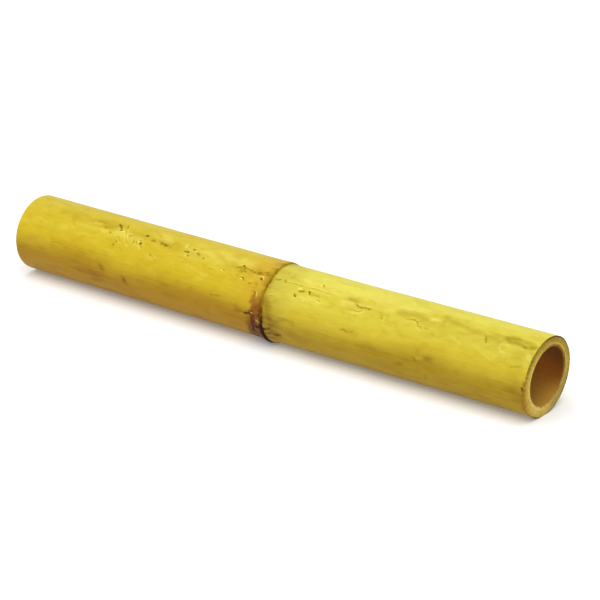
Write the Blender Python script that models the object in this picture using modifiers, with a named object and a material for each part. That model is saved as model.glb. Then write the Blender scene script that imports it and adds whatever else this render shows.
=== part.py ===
"""A cut length of bamboo cane, lying on its side.

The cane is one piece that grew whole: a hollow culm with one node near its middle, where a
thin woody wall, the diaphragm, closes the hollow from side to side. It is turned upright as
one profile about its axis, laid along X, and then given the small departures from a turned
shape that a grown cane has.

The near end is the sawn end at +X, a little closer to the node, and the far end is at -X.
Station means the distance from the near end, measured along the cane.
"""

import math

import bpy
from mathutils import Matrix

# Driving dimensions, in metres
LENGTH = 0.315
NODE_STATION = 0.151  # where the thin ring left by the old sheath runs round the cane
NEAR_RADIUS = 0.01978  # outer radius between the near end and the node
FAR_RADIUS = 0.0201  # outer radius between the node and the far end
BORE_RADIUS = 0.0145
DIAPHRAGM_THICKNESS = 0.0034
DIAPHRAGM_OFFSET = 0.0025  # from the ring towards the far end
DIAPHRAGM_FILLET = 0.007
RIM_CHAMFER = 0.0003
SAW_SLANT = (0.016, 0.024)  # how far the near end leans out for each metre of Y and of Z

# The lip that the saw pressed out at the near end's lower front edge
LIP_HEIGHT = 0.00045
LIP_REACH = 0.003
LIP_ANGLE = math.radians(245)  # round the cane, from +Y towards +Z, as for the bud
LIP_SHARPNESS = 4

# The swollen band at the node
BAND_NEAR_REACH = 0.0045  # from the ring towards the near end
BAND_FAR_REACH = 0.0068  # and towards the far end
BAND_HEIGHT = 0.00008
BUD_HEIGHT = 0.001  # the swelling where a bud once grew, on the lower front side
BUD_ANGLE = math.radians(240)
BUD_SHARPNESS = 8
RING_DEPTH = 0.0004
RING_HALF_WIDTH = 0.0006
SCAR_STATION = 0.0062  # the fainter second line, past the ring
SCAR_DEPTH = 0.00015
SCAR_HALF_WIDTH = 0.0008
STEP_HALF_WIDTH = 0.002  # the length over which the two radii change at the ring

# Departures from a turned shape
WAIST = 0.00004  # the middle of each internode is this much slimmer than its ends
OVALITY = 0.0001
NODE_BOW = 0.0014  # how far the axis stands towards -Y from the near end's, at the node
FAR_BOW = 0.0007  # and at the far end
REST_FLAT = 0.0003  # depth of the flat that the cane lies on

# Facets
SIDES = 56
INTERNODE_SPACING = 0.017
FILLET_STEPS = 4
NODE_OFFSETS = (
    -0.0105, -0.0068, -0.0048, -0.0032, -0.002, -0.0012, -0.0006, 0.0, 0.0006,
    0.0012, 0.0022, 0.0034, 0.0048, 0.0062, 0.0076, 0.0105,
)
LIP_STATIONS = (0.0009, 0.0018, 0.003)
WELD_DISTANCE = 0.00001


def clear_scene():
    for obj in list(bpy.data.objects):
        bpy.data.objects.remove(obj, do_unlink=True)


def evenly_between(start, end, spacing):
    """Stations strictly between two others, about one spacing apart."""
    count = max(1, round(abs(end - start) / spacing))
    return [start + (end - start) * i / count for i in range(1, count)]


def outer_stations():
    """Stations of the skin's rings, closer together at the lip and the node, far end first."""
    lip = list(LIP_STATIONS)
    node = [NODE_STATION + offset for offset in NODE_OFFSETS]
    near = evenly_between(lip[-1], node[0], INTERNODE_SPACING)
    far = evenly_between(node[-1], LENGTH - RIM_CHAMFER, INTERNODE_SPACING)
    return sorted(lip + near + node + far, reverse=True)


def nominal_radius(station):
    """The skin's radius before the node's band and the other small departures are added."""
    share = (station - NODE_STATION) / STEP_HALF_WIDTH
    share = min(1.0, max(0.0, (share + 1) / 2))
    smooth = share * share * (3 - 2 * share)
    return NEAR_RADIUS + (FAR_RADIUS - NEAR_RADIUS) * smooth


def hollow_profile(mouth, floor):
    """(radius, station) from the diaphragm's centre out to the bore and along it to its mouth."""
    outward = math.copysign(1, mouth - floor)
    points = [(0.0, floor)]
    for i in range(FILLET_STEPS + 1):
        turn = math.pi / 2 * i / FILLET_STEPS
        radius = BORE_RADIUS - DIAPHRAGM_FILLET * (1 - math.sin(turn))
        station = floor + outward * DIAPHRAGM_FILLET * (1 - math.cos(turn))
        points.append((radius, station))
    last = mouth - outward * RIM_CHAMFER
    along = evenly_between(points[-1][1], last, 2 * INTERNODE_SPACING)
    points += [(BORE_RADIUS, station) for station in along]
    points.append((BORE_RADIUS, last))
    points.append((BORE_RADIUS + RIM_CHAMFER, mouth))
    return points


def culm_profile():
    """The whole wall in section: far hollow, far rim, skin, near rim, near hollow."""
    diaphragm = NODE_STATION + DIAPHRAGM_OFFSET
    far_floor = diaphragm + DIAPHRAGM_THICKNESS / 2
    near_floor = diaphragm - DIAPHRAGM_THICKNESS / 2
    skin = [(nominal_radius(station), station) for station in outer_stations()]
    far_rim = [
        (FAR_RADIUS - RIM_CHAMFER, LENGTH),
        (FAR_RADIUS, LENGTH - RIM_CHAMFER),
    ]
    near_rim = [
        (NEAR_RADIUS, RIM_CHAMFER),
        (NEAR_RADIUS - RIM_CHAMFER, 0.0),
    ]
    near_hollow = hollow_profile(0.0, near_floor)
    return hollow_profile(LENGTH, far_floor) + far_rim + skin + near_rim + near_hollow[::-1]


def turned_mesh(name, profile):
    """Turns a profile of (radius, height) points, which starts and ends on Z, once round Z."""
    mesh = bpy.data.meshes.new(name)
    points = [(radius, 0.0, height) for radius, height in profile]
    edges = [(i, i + 1) for i in range(len(points) - 1)]
    mesh.from_pydata(points, edges, [])
    guide = bpy.data.objects.new(name + "_profile", mesh)
    bpy.context.scene.collection.objects.link(guide)
    screw = guide.modifiers.new("turn", "SCREW")
    screw.axis = "Z"
    screw.angle = 2 * math.pi
    screw.steps = SIDES
    screw.render_steps = SIDES
    screw.use_merge_vertices = True
    screw.merge_threshold = WELD_DISTANCE
    graph = bpy.context.evaluated_depsgraph_get()
    turned = bpy.data.meshes.new_from_object(guide.evaluated_get(graph))
    turned.name = name
    bpy.data.objects.remove(guide, do_unlink=True)
    return turned


def bump(distance, half_width):
    """1 at no distance, falling smoothly to 0 at the half width."""
    share = abs(distance) / half_width
    return 0.0 if share >= 1 else (1 + math.cos(math.pi * share)) / 2


def facing(angle, centre, sharpness):
    """1 at the centre angle round the cane, falling smoothly to 0 on the other side."""
    return ((1 + math.cos(angle - centre)) / 2) ** sharpness


def skin_relief(station, angle):
    """How far the skin stands out from its nominal radius."""
    past_ring = station - NODE_STATION
    end = 0.0 if past_ring < 0 else LENGTH
    along = (station - NODE_STATION) / (end - NODE_STATION)
    waist = -WAIST * math.sin(math.pi * min(1.0, along)) ** 2
    oval = OVALITY * math.cos(2 * angle)
    swelling = BAND_HEIGHT + BUD_HEIGHT * facing(angle, BUD_ANGLE, BUD_SHARPNESS)
    band = swelling * bump(past_ring, BAND_NEAR_REACH if past_ring < 0 else BAND_FAR_REACH)
    ring = -RING_DEPTH * bump(past_ring, RING_HALF_WIDTH * 2)
    scar = -SCAR_DEPTH * bump(past_ring - SCAR_STATION, SCAR_HALF_WIDTH * 2)
    lip = LIP_HEIGHT * bump(station, LIP_REACH) * facing(angle, LIP_ANGLE, LIP_SHARPNESS)
    return waist + oval + band + ring + scar + lip


def axis_offset(station):
    """The bowed axis at a station: a straight run on each side of the node, eased across it."""
    end, end_bow = (0.0, 0.0) if station < NODE_STATION else (LENGTH, FAR_BOW)
    share = (station - NODE_STATION) / (end - NODE_STATION)
    return -NODE_BOW + (NODE_BOW - end_bow) * share * share * (2 - share)


def grow(mesh):
    """Gives the turned, laid mesh its node, its ovality, its bow and its nearly square saw cut."""
    for vertex in mesh.vertices:
        x, y, z = vertex.co
        station = LENGTH / 2 - x
        radius = math.hypot(y, z)
        angle = math.atan2(z, y)
        through_wall = (radius - BORE_RADIUS) / (nominal_radius(station) - BORE_RADIUS)
        share = min(1.0, max(0.0, through_wall))
        grown = radius + share * skin_relief(station, angle)
        y = grown * math.cos(angle)
        z = grown * math.sin(angle)
        near_end_share = max(0.0, 1 - station / NODE_STATION)
        x += near_end_share * (SAW_SLANT[0] * y + SAW_SLANT[1] * z)
        vertex.co = (x, y + axis_offset(station), z + nominal_radius(station) - REST_FLAT)


def flatten_underside(mesh):
    """Presses what would reach below the surface that the cane lies on flat against it."""
    for vertex in mesh.vertices:
        vertex.co.z = max(0.0, vertex.co.z)


def centre_over_origin(mesh):
    """Moves the mesh so that its box is centred on the origin in X and Y."""
    xs = [vertex.co.x for vertex in mesh.vertices]
    ys = [vertex.co.y for vertex in mesh.vertices]
    middle = ((min(xs) + max(xs)) / 2, (min(ys) + max(ys)) / 2)
    mesh.transform(Matrix.Translation((-middle[0], -middle[1], 0.0)))


def bamboo_material():
    material = bpy.data.materials.new("bamboo")
    material.use_nodes = True
    shader = material.node_tree.nodes["Principled BSDF"]
    shader.inputs["Base Color"].default_value = (0.62, 0.47, 0.08, 1.0)
    shader.inputs["Roughness"].default_value = 0.42
    shader.inputs["Metallic"].default_value = 0.0
    return material


def build_culm():
    """The cane: turned upright, laid along X with its near end at +X, then grown and flattened."""
    mesh = turned_mesh("culm", culm_profile())
    lay_down = Matrix.Rotation(-math.pi / 2, 4, "Y")
    mesh.transform(Matrix.Translation((LENGTH / 2, 0.0, 0.0)) @ lay_down)
    grow(mesh)
    flatten_underside(mesh)
    centre_over_origin(mesh)
    mesh.materials.append(bamboo_material())
    mesh.shade_smooth()
    mesh.set_sharp_from_angle(angle=math.radians(35))
    culm = bpy.data.objects.new("culm", mesh)
    parts = bpy.data.collections.new("bamboo_cane")
    bpy.context.scene.collection.children.link(parts)
    parts.objects.link(culm)


clear_scene()
build_culm()
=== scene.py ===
# %% [markdown]
# # A cut length of bamboo cane
#
# A bamboo culm is a hollow woody tube that grew whole. Its skin is smooth and waxy, and every
# so often a node closes the hollow with a thin wall, the diaphragm, and rings the skin with
# the scar of an old leaf sheath.
#
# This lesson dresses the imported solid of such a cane. The solid has the right size and the
# right large forms, so one finer piece, modelled along the same measures, takes its place. It
# starts as a plain cylinder and ends with its ring, its scars, its sawn faces and its hollows.

# %% Load the frame
import math

import bmesh
import bpy
import numpy as np
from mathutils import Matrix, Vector, noise


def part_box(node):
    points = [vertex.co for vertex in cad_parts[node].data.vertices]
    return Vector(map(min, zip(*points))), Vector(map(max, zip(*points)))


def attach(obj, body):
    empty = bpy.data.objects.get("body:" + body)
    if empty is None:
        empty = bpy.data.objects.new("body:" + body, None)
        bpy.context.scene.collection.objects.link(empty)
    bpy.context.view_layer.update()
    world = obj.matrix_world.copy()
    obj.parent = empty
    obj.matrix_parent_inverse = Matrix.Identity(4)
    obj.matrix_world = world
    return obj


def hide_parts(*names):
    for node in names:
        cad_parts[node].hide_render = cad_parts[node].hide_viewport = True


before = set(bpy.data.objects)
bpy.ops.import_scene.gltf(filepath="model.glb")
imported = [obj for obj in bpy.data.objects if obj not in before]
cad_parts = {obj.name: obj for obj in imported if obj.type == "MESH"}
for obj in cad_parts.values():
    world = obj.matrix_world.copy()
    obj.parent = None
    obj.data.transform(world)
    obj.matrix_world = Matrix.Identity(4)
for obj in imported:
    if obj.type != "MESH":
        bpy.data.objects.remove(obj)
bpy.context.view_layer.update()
LOW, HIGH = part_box("culm")
print("the solid reaches from", tuple(LOW), "to", tuple(HIGH))

# %% [markdown]
# ## The stage
#
# The cane lies on a pale floor under soft light, and the camera looks down along it from its
# near end. A camera's turn is easiest to repeat when it is written as an angle round the
# object and an angle above the floor, because those are the numbers that one can judge by
# eye. Its place is given from the near end, the part of the cane that is most in view. A long
# lens keeps the cane's sides nearly parallel.

# %% The camera
NEAR_END_AXIS = Vector((HIGH.x, 0.0008, 0.0196))  # the middle of the near end's sawn face
CAMERA_FROM_NEAR_END = Vector((0.4795, -0.8311, 0.4316))
AZIMUTH = math.radians(36.82)
ELEVATION = math.radians(22.43)
LENS_MM = 136.3
SENSOR_MM = 36.0

towards_camera = Vector((
    math.sin(AZIMUTH) * math.cos(ELEVATION),
    -math.cos(AZIMUTH) * math.cos(ELEVATION),
    math.sin(ELEVATION),
))
bpy.ops.object.camera_add(location=NEAR_END_AXIS + CAMERA_FROM_NEAR_END)
camera = bpy.context.object
camera.name = "camera"
camera.rotation_euler = towards_camera.to_track_quat("Z", "Y").to_euler()
camera.data.lens = LENS_MM
camera.data.sensor_width = SENSOR_MM
camera.data.clip_start = 0.01
camera.data.clip_end = 20.0
bpy.context.scene.camera = camera
print("the camera stands", round(camera.location.length, 3), "m from the origin")

# %% [markdown]
# ## Light and floor
#
# Waxy bamboo shows soft light best. One large lamp hangs above the cane and a little in front
# of it, and a white world fills the shadows. The view transform is Standard, so that a colour
# comes out as it was mixed and a white floor comes out white.

# %% Lamp, world and floor
LAMP_PLACE = Vector((0.1, -0.45, 1.3))
LAMP_SIZE = 1.5
LAMP_WATTS = 16.0
WORLD_STRENGTH = 0.62
FLOOR_SIZE = 8.0

bpy.ops.object.light_add(type="AREA", location=LAMP_PLACE)
lamp = bpy.context.object
lamp.name = "lamp"
lamp.rotation_euler = LAMP_PLACE.to_track_quat("Z", "Y").to_euler()
lamp.data.shape = "SQUARE"
lamp.data.size = LAMP_SIZE
lamp.data.energy = LAMP_WATTS

world = bpy.data.worlds.new("studio")
world.use_nodes = True
background = world.node_tree.nodes["Background"].inputs
background["Color"].default_value = (1.0, 1.0, 1.0, 1.0)
background["Strength"].default_value = WORLD_STRENGTH
bpy.context.scene.world = world
bpy.context.scene.view_settings.view_transform = "Standard"

bpy.ops.mesh.primitive_plane_add(size=FLOOR_SIZE, location=(0.0, 0.0, 0.0))
floor = bpy.context.object
floor.name = "floor"
print("the lamp hangs", round(LAMP_PLACE.length, 2), "m from the origin")

# %% [markdown]
# ## Measures of the cane
#
# These are the measures that the solid was made from. Station means the distance from the
# near end, along the cane, and an angle round the cane starts at +Y and turns towards +Z, so
# the top is at 90 degrees and the front at 180.

# %% Measures
LENGTH = 0.315
NODE_STATION = 0.151
NEAR_RADIUS = 0.01978
FAR_RADIUS = 0.0201
BORE_RADIUS = 0.0145
DIAPHRAGM_THICKNESS = 0.0034
DIAPHRAGM_OFFSET = 0.0025
DIAPHRAGM_FILLET = 0.007
RIM_CHAMFER = 0.0003
SAW_SLANT = (0.016, 0.024)
REST_FLAT = 0.0003
NODE_BOW = 0.0014
FAR_BOW = 0.0007
WALL = NEAR_RADIUS - BORE_RADIUS
FAR_END_X = LOW.x


def x_at(station):
    return FAR_END_X + LENGTH - station


print("the wall is", round(WALL * 1000, 2), "mm thick, the ring at X", round(x_at(NODE_STATION), 4))

# %% [markdown]
# ## The blank
#
# The real cane grew as a tube, and the quickest tube is a cylinder. It is laid along X at its
# place straight away, so that every later cut can be named by its station.

# %% A cylinder along X
SIDES = 200

bpy.ops.object.select_all(action="DESELECT")
bpy.ops.mesh.primitive_cylinder_add(
    vertices=SIDES,
    radius=NEAR_RADIUS,
    depth=LENGTH - 2 * RIM_CHAMFER,
    end_fill_type="NGON",
    location=(x_at(LENGTH / 2), 0.0, 0.0),
    rotation=(0.0, math.pi / 2, 0.0),
)
culm = bpy.context.object
culm.name = "culm_grown"
bpy.ops.object.transform_apply(location=True, rotation=True, scale=True)
print("blank:", len(culm.data.vertices), "vertices")

# %% [markdown]
# ## Rings along the skin
#
# The cylinder's side is one long strip of faces, and relief needs rings of vertices across
# them. A bisect cuts the whole tube square at one station. A few such cuts part the tube into
# stretches, and subdividing the long edges of each stretch fills it with even rings: wide
# apart on the plain internodes, and close together at the node and at the sawn ends.

# %% Cut the stretches and fill them
STRETCHES = (  # from a station to the next, and how far apart the rings are there
    (RIM_CHAMFER, 0.004, 0.0006),
    (0.004, 0.140, 0.0013),
    (0.140, 0.1485, 0.0007),
    (0.1485, 0.1535, 0.00018),
    (0.1535, 0.1605, 0.0004),
    (0.1605, 0.166, 0.0008),
    (0.166, 0.311, 0.0015),
    (0.311, LENGTH - RIM_CHAMFER, 0.0006),
)


def selected_edges(piece, test):
    """Selects the edges, in edit mode, whose two ends pass a test together."""
    bpy.ops.mesh.select_mode(type="EDGE")
    bpy.ops.mesh.select_all(action="DESELECT")
    mesh = bmesh.from_edit_mesh(piece.data)
    for edge in mesh.edges:
        if test(edge.verts[0].co, edge.verts[1].co):
            edge.select_set(True)
    bmesh.update_edit_mesh(piece.data)


def selected_faces(piece, test):
    """Selects the faces, in edit mode, whose centre and normal pass a test together."""
    bpy.ops.mesh.select_mode(type="FACE")
    bpy.ops.mesh.select_all(action="DESELECT")
    mesh = bmesh.from_edit_mesh(piece.data)
    for face in mesh.faces:
        if test(face.calc_center_median(), face.normal):
            face.select_set(True)
    bmesh.update_edit_mesh(piece.data)


bpy.ops.object.mode_set(mode="EDIT")
for start, _, _ in STRETCHES[1:]:
    bpy.ops.mesh.select_all(action="SELECT")
    bpy.ops.mesh.bisect(plane_co=(x_at(start), 0.0, 0.0), plane_no=(1.0, 0.0, 0.0))

HAIR = 1e-6  # far less than any spacing, and far more than the rounding of a coordinate
for start, end, spacing in STRETCHES:
    low, high = x_at(end) - HAIR, x_at(start) + HAIR

    def runs_along(a, b):
        inside = low < a.x < high and low < b.x < high
        return inside and abs(a.x - b.x) > HAIR * 10

    selected_edges(culm, runs_along)
    bpy.ops.mesh.subdivide(number_cuts=round((end - start) / spacing) - 1)
print("with rings:", len(bmesh.from_edit_mesh(culm.data).verts), "vertices")

# %% [markdown]
# ## Where the marks go
#
# Handling has left this cane with small pits, short scrapes and a few long creases, most of them on its
# upper front. Each mark is a stroke from one place to another, with a width and a depth, and some have
# a pale lip of raised skin beside them, whose paleness is a painted highlight. The mesh has to be finer
# there, so the faces around each stroke are subdivided before anything is shaped.

# %% Strokes on the skin
# Places as (station mm, angle), then the width in mm, the darkness, and the height of a pale lip, a
# raised edge with a painted highlight, which is below the stroke, above it if negative, and on it if
# the stroke isn't dark
STROKES = (
    (((18, 112), (17, 117), (15.5, 121)), 1.8, 0.3, 0),
    (((15.5, 121), (12, 119.5), (9, 119), (6, 122)), 2.0, 0.34, 0.2),
    (((27.7, 121), (26.7, 125), (26, 129.5)), 1.4, 0.5, 0),
    (((18, 125), (18.5, 132), (17, 137), (15.5, 137)), 1.3, 0, 0.35),
    (((2.5, 133), (1.5, 137)), 2.2, 0, 0.35),
    (((9, 154), (7, 152), (4, 149)), 0.9, 0.35, 0),
    (((34, 170), (31, 171), (26, 169)), 1.0, 0.18, 0),
    (((43, 134), (41, 136), (38.5, 138)), 0.9, 0.15, 0.25),
    (((1.4, 177), (0.9, 181)), 1.1, 1.0, 0),
    (((21, 183), (19, 181)), 1.5, 0.25, 0),
    (((98.3, 128), (97.3, 129.5), (95.5, 129.5), (93.5, 128.5), (91, 128.5)), 1.0, 0.68, 0),
    (((91, 128.5), (88, 127.5), (85.5, 129), (82, 130.5), (80, 130)), 1.0, 0.25, 0),
    (((98, 126), (95, 124.5), (91, 124.5), (87, 126)), 0.7, 0, 0.3),
    (((104, 121.5), (101, 120.5), (99, 123), (98.3, 127)), 1.7, 0.2, 0),
    (((106, 128), (101, 127)), 1.1, 0, 0.3),
    (((102, 137.5), (99.5, 136), (97, 137), (94.5, 135)), 0.8, 0.32, 0),
    (((101, 140), (97, 139.5), (95, 138.5), (93.3, 134.5)), 0.9, 0, 0.4),
    (((100, 144), (96, 143)), 1.2, 0.25, 0),
    (((83.5, 132), (82.5, 137)), 1.3, 0.3, 0),
    (((81.5, 134), (81.3, 140)), 1.6, 0, 0.22),
    (((75, 121), (72, 119.5), (69, 120), (64.5, 116.5), (60, 119.5)), 1.6, 0.14, 0),
    (((60, 119.5), (58, 122.5), (55, 121.5), (52, 119)), 1.4, 0.16, 0),
    (((69.5, 128.5), (67.5, 126.5), (65.5, 126.5), (64, 128)), 1.0, 0.45, 0.2),
    (((64, 128), (63.2, 132), (61.5, 134.5), (60.5, 135.5)), 1.1, 0.42, 0.2),
    (((58.5, 134), (57, 133.5)), 1.3, 0.35, 0),
    (((57.5, 117), (55.4, 116.5)), 1.2, 0, 0.4),
    (((73, 109), (70, 109.5)), 1.8, 0, 0.2),
    (((103, 168), (101.5, 166.5), (99.5, 167)), 1.1, 0.42, 0),
    (((99.5, 167), (96, 166.5)), 1.2, 0.3, 0),
    (((60.8, 178), (59.8, 180)), 1.4, 0.5, 0),
    (((59, 177), (55, 174.5)), 1.3, 0, 0.1),
    (((55.5, 211), (54.5, 204), (54, 199)), 1.3, 0.4, 0),
    (((147.5, 122.5), (145.5, 121)), 1.3, 0.5, 0),
    (((143, 120), (142, 122.5)), 1.4, 0.45, 0),
    (((141, 122), (137, 121), (132, 121)), 0.7, 0.4, -0.4),
    (((130, 122), (124, 120.5), (118, 122), (113, 121)), 0.7, 0.3, -0.3),
    (((128, 125), (121, 124.5), (115, 125)), 1.0, 0, 0.3),
    (((132.6, 127), (131.6, 126.2)), 1.2, 0, 0.8),
    (((132.2, 131.5), (131, 130.5), (129.7, 129)), 1.0, 0.7, 0),
    (((133.8, 137.3), (133, 139.4)), 1.2, 0.75, 0.2),
    (((131.5, 141), (129.3, 143)), 0.8, 0.3, 0),
    (((126.5, 128), (125.6, 131)), 1.2, 0.8, 0.3),
    (((124.2, 131), (122, 130), (119.5, 130.5)), 1.3, 0.36, 0),
    (((120.5, 136), (118.5, 137.5)), 0.9, 0.4, 0.4),
    (((122, 110), (121, 113)), 1.1, 0.62, 0),
    (((123, 111.5), (122.3, 113.6)), 0.8, 0, 0.8),
    (((148, 145), (146, 144)), 0.6, 0.4, 0.5),
    (((147.5, 148.5), (145.5, 147.5)), 0.6, 0.4, 0),
    (((144.5, 154), (142.5, 153)), 0.8, 0.3, 0),
    (((149.5, 202), (147.5, 200), (146.5, 198.5)), 1.5, 1.0, 0),
    (((149, 210), (146, 208.5), (142, 208), (139.8, 206.5)), 1.8, 0.7, 0),
    (((150.4, 109), (149.9, 114)), 1.1, 0.5, 0),
    (((149.8, 125), (150.2, 132)), 1.1, 0.5, 0),
    (((150.5, 136), (150, 142)), 1.0, 0.4, 0),
    (((150.1, 169), (150.3, 176)), 1.1, 0.7, 0),
    (((150, 182), (150.3, 192)), 1.5, 0.75, 0),
    (((151.2, 197), (151.8, 200), (153.6, 202)), 1.7, 1.0, 0),
    (((151.4, 203), (151, 215), (150.6, 232)), 1.7, 0.8, 0),
    (((153, 190.5), (151.8, 192)), 0.9, 0, 0.45),
    (((172.3, 123.5), (170.5, 121), (169, 117.5), (167.5, 118.5)), 1.1, 0.55, 0),
    (((169, 117.5), (168.2, 119.5)), 1.5, 0.8, 0),
    (((169.7, 122), (168, 126), (167, 125)), 2.6, 0.4, 0),
    (((166.3, 125), (165.9, 126)), 0.9, 0.8, 0),
    (((167.5, 119.5), (164, 121), (160.3, 122.5)), 1.1, 0.55, 0),
    (((158.3, 122), (156, 122.6)), 2.3, 0.62, 0),
    (((154, 118), (152.4, 121)), 2.4, 0.36, 0),
    (((171.5, 134.5), (169.5, 133.5), (168.5, 136)), 0.9, 0.3, 0),
    (((166.8, 134.5), (165.5, 136), (164.8, 138), (166, 139)), 0.9, 0.75, 0),
    (((166.6, 137.5), (165.5, 138.5)), 0.9, 0, 1.0),
    (((155.5, 128.8), (155, 130.6)), 1.2, 0.9, 0),
    (((155.6, 126.6), (154.6, 126.4), (153.8, 129.5)), 0.6, 0, 0.7),
    (((161, 141), (158.5, 139.5), (156, 138.5)), 0.9, 0.35, 0),
    (((155.5, 151.5), (155.7, 157)), 1.1, 0.6, 0),
    (((154.5, 150), (154, 157)), 0.8, 0, 0.45),
    (((160, 184.5), (158.5, 183), (157, 182.5)), 1.4, 1.0, 0),
    (((157, 181), (155.5, 180.5)), 0.7, 0, 0.4),
    (((156.5, 184), (156, 200), (156.6, 212)), 1.2, 0.7, 0),
    (((182, 171), (178, 171), (176, 170)), 1.6, 0.3, 0),
    (((207.8, 106), (207, 113)), 0.7, 0, 0.7),
    (((206.3, 120.5), (205, 120.5), (204, 119.5)), 1.1, 0.85, 0),
    (((203.5, 124), (202.7, 127)), 0.9, 0.6, 0),
    (((204.7, 125), (204, 128)), 0.6, 0, 0.6),
    (((202.2, 112.6), (201.3, 113.3)), 1.3, 0.9, 0),
    (((200.7, 114), (200.2, 115.5)), 0.7, 0, 0.8),
    (((198.5, 117.5), (197, 119.5)), 1.8, 0.6, 0),
    (((194, 122), (193, 125)), 1.2, 0.4, 0),
    (((187, 136), (185, 135.5)), 1.2, 0.3, 0),
    (((179, 132.3), (178, 132)), 0.8, 0.6, 0),
    (((180, 134), (178.6, 133.4)), 0.7, 0, 0.5),
    (((222.5, 117.5), (221, 118.5), (218, 118.8)), 1.9, 0.7, 0),
    (((216, 121), (215.5, 124)), 1.2, 0.3, 0),
    (((228.5, 117.5), (226.5, 118)), 1.8, 0.4, 0),
    (((225, 113), (222.5, 117.5)), 1.0, 0.35, 0),
    (((225, 141), (223, 141.5)), 1.6, 0.4, 0),
    (((234, 112), (232.8, 111.3)), 1.2, 0.9, 0),
    (((235.2, 123.5), (234.5, 124)), 0.8, 0.5, 0),
    (((234.2, 128.2), (233.4, 129)), 1.3, 0.9, 0),
    (((233, 130), (232.3, 133)), 0.9, 0.5, 0),
    (((236, 125.5), (235, 126.5)), 0.8, 0, 0.8),
    (((234.5, 133), (232.5, 138)), 0.8, 0, 0.4),
    (((238.7, 126.5), (238, 130)), 0.9, 0.7, 0),
    (((236.8, 126), (236.3, 129)), 0.7, 0.5, 0),
    (((243, 120.5), (241.5, 119.5)), 1.1, 0.6, 0),
    (((244, 117), (242.5, 117)), 1.0, 0, 0.4),
    (((254.5, 103), (252.5, 107), (251.8, 110)), 1.2, 0.72, 0),
    (((251.2, 111), (250, 114.5)), 1.5, 0.75, 0),
    (((252, 112.5), (251, 113.5)), 0.8, 0, 0.7),
    (((249.5, 117), (247.8, 116)), 1.0, 0, 0.9),
    (((249, 102), (247.8, 107.5)), 1.3, 0.66, 0),
    (((248.5, 110), (246, 118), (244.5, 126), (242, 134)), 1.0, 0.3, 0.3),
    (((249, 127), (247.8, 131), (247, 134)), 0.7, 0.45, 0.5),
    (((249.8, 142), (249.2, 138), (248.5, 135)), 1.3, 0.5, 0),
    (((255.5, 123.5), (254.7, 126)), 0.8, 0.5, 0),
    (((253, 128), (252.8, 129)), 0.8, 0.4, 0),
    (((260, 118), (258, 117)), 2.4, 0.36, 0.3),
    (((268, 115), (264, 114.5)), 1.6, 0, 0.3),
    (((246.4, 111), (245, 119), (243.8, 126)), 1.0, 0, 0.35),
    (((260.5, 123), (257, 122)), 1.0, 0, 0.3),
    (((248.3, 105), (247.6, 108)), 0.9, 0.7, 0),
    (((237.7, 131), (236.8, 132.5)), 0.8, 0, 0.5),
    (((243, 134), (240.5, 138)), 1.0, 0, 0.25),
    (((172.5, 116), (170, 115)), 0.9, 0, 0.4),
    (((157.5, 126), (155, 125)), 0.8, 0, 0.45),
    (((163, 186.5), (159.5, 188)), 0.8, 0, 0.12),
    (((254.3, 179), (254, 183)), 1.9, 0.3, 0),
    (((239.5, 189), (238.8, 187.5)), 1.6, 0.5, 0),
    (((290, 163), (286, 161.5), (282, 162)), 1.2, 0.3, 0),
    # and a few on the side turned away from the camera
    (((22, 38), (17, 36), (12, 37)), 0.9, 0.35, 0),
    (((48, 12), (44, 10), (41, 11.5)), 1.1, 0.5, 0.3),
    (((66, 52), (65, 56)), 1.2, 0.6, 0),
    (((97, 350), (90, 348), (84, 350)), 0.9, 0.4, 0),
    (((112, 24), (110.5, 27), (111, 31)), 1.0, 0.45, 0.4),
    (((128, 58), (124, 57)), 1.2, 0.3, 0),
    (((141, 345), (140, 340)), 1.1, 0.55, 0),
    (((163, 30), (158, 28), (155, 29)), 1.0, 0.5, 0.3),
    (((171, 8), (169.5, 5)), 1.3, 0.6, 0),
    (((188, 46), (181, 44)), 0.9, 0.3, 0.3),
    (((214, 352), (206, 350)), 1.0, 0.4, 0),
    (((231, 22), (229.5, 26), (228, 27)), 1.1, 0.6, 0.4),
    (((262, 60), (258, 57)), 1.1, 0.4, 0),
    (((281, 335), (274, 333)), 1.0, 0.35, 0),
    (((299, 15), (297.5, 12)), 1.2, 0.55, 0),
)

# %% [markdown]
# Soft stains are written down in the same way. They are wider than the strokes, they have no
# clear outline, and they leave no relief, so the mesh needn't be finer below them.

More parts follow.
